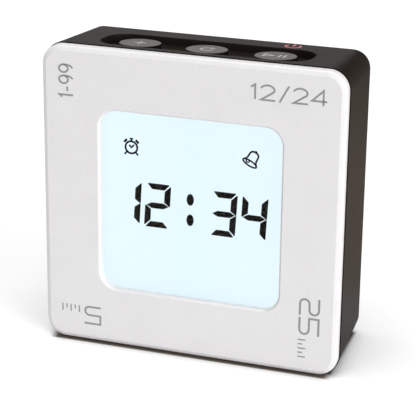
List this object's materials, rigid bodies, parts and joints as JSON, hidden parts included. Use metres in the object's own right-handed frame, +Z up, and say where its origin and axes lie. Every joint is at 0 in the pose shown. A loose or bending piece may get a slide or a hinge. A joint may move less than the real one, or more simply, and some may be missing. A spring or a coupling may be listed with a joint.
{
  "type": "countdown timer",
  "caption": "Square tabletop flip timer with a backlit display in a pale front plate, a dark tapered housing, and round buttons sunk in its top side.",
  "frame": {"origin": "centre of the base of the box round the timer, where it stands on its bottom side", "axes": "+X to the display's right, +Y to the back, +Z up; the front plate faces -Y and leans back by the housing's draft"},
  "size_m": [0.08, 0.033, 0.0799],
  "materials": {
    "white_plastic": "pale grey-white, satin",
    "dark_plastic": "warm dark grey, satin",
    "grey_plastic": "mid grey, satin",
    "clear_plastic": "clear, polished",
    "glass": "clear, polished",
    "milky_plastic": "milky, smooth",
    "board": "green solder mask",
    "black_epoxy": "black, moulded",
    "rubber": "soft, striped with carbon",
    "steel": "nickel-plated",
    "cell_wrap": "dark wrap, glossy"
  },
  "bodies": {
    "case": {"front_bezel": "white_plastic", "rear_housing": "dark_plastic", "display_window": "clear_plastic", "lcd_front_glass": "glass", "lcd_rear_glass": "glass", "diffuser_sheet": "milky_plastic", "light_guide": "milky_plastic", "reflector_sheet": "white_plastic", "backlight_led_left": "white_plastic", "backlight_led_right": "white_plastic", "lcd_holder": "white_plastic", "zebra_strip": "rubber", "main_pcb": "board", "board_screw_1": "steel", "board_screw_2": "steel", "board_screw_3": "steel", "board_screw_4": "steel", "control_chip": "black_epoxy", "orientation_sensor": "black_epoxy", "timing_crystal": "steel", "capacitor": "cell_wrap", "piezo_buzzer": "black_epoxy", "case_screw_1": "steel", "case_screw_2": "steel", "case_screw_3": "steel", "case_screw_4": "steel", "tact_switch_left": "steel", "tact_switch_middle": "steel", "tact_switch_right": "steel", "key_board": "board", "key_screw_left": "steel", "key_screw_right": "steel", "key_ribbon": "milky_plastic", "power_switch_case": "steel", "battery_upper": "cell_wrap", "battery_lower": "cell_wrap", "contact_spring_upper": "steel", "contact_spring_lower": "steel", "contact_plate_positive": "steel", "contact_plate_negative": "steel", "contact_plate_bridge": "steel"},
    "key_left": {"button_left": "grey_plastic", "tact_plunger_left": "black_epoxy"},
    "key_middle": {"button_middle": "grey_plastic", "tact_plunger_middle": "black_epoxy"},
    "key_right": {"button_right": "grey_plastic", "tact_plunger_right": "black_epoxy"},
    "power_slide": {"power_knob": "grey_plastic", "power_slider": "black_epoxy"},
    "door": {"battery_door": "dark_plastic"}
  },
  "joints": [
    {"name": "press_left", "type": "slide", "parent": "case", "child": "key_left", "axis": [0, -0.1149, -0.9934], "range_m": [0, 0.0006], "stiffness_N_per_m": 1500, "springref_m": -0.0004},
    {"name": "press_middle", "type": "slide", "parent": "case", "child": "key_middle", "axis": [0, -0.1149, -0.9934], "range_m": [0, 0.0006], "stiffness_N_per_m": 1500, "springref_m": -0.0004},
    {"name": "press_right", "type": "slide", "parent": "case", "child": "key_right", "axis": [0, -0.1149, -0.9934], "range_m": [0, 0.0006], "stiffness_N_per_m": 1500, "springref_m": -0.0004},
    {"name": "power_switch", "type": "slide", "parent": "case", "child": "power_slide", "axis": [-1, 0, 0], "range_m": [0, 0.003]},
    {"name": "door_hinge", "type": "hinge", "parent": "case", "child": "door", "pos_m": [0, 0.01379, 0.02992], "axis": [-1, 0, 0], "range_deg": [0, 75]}
  ]
}
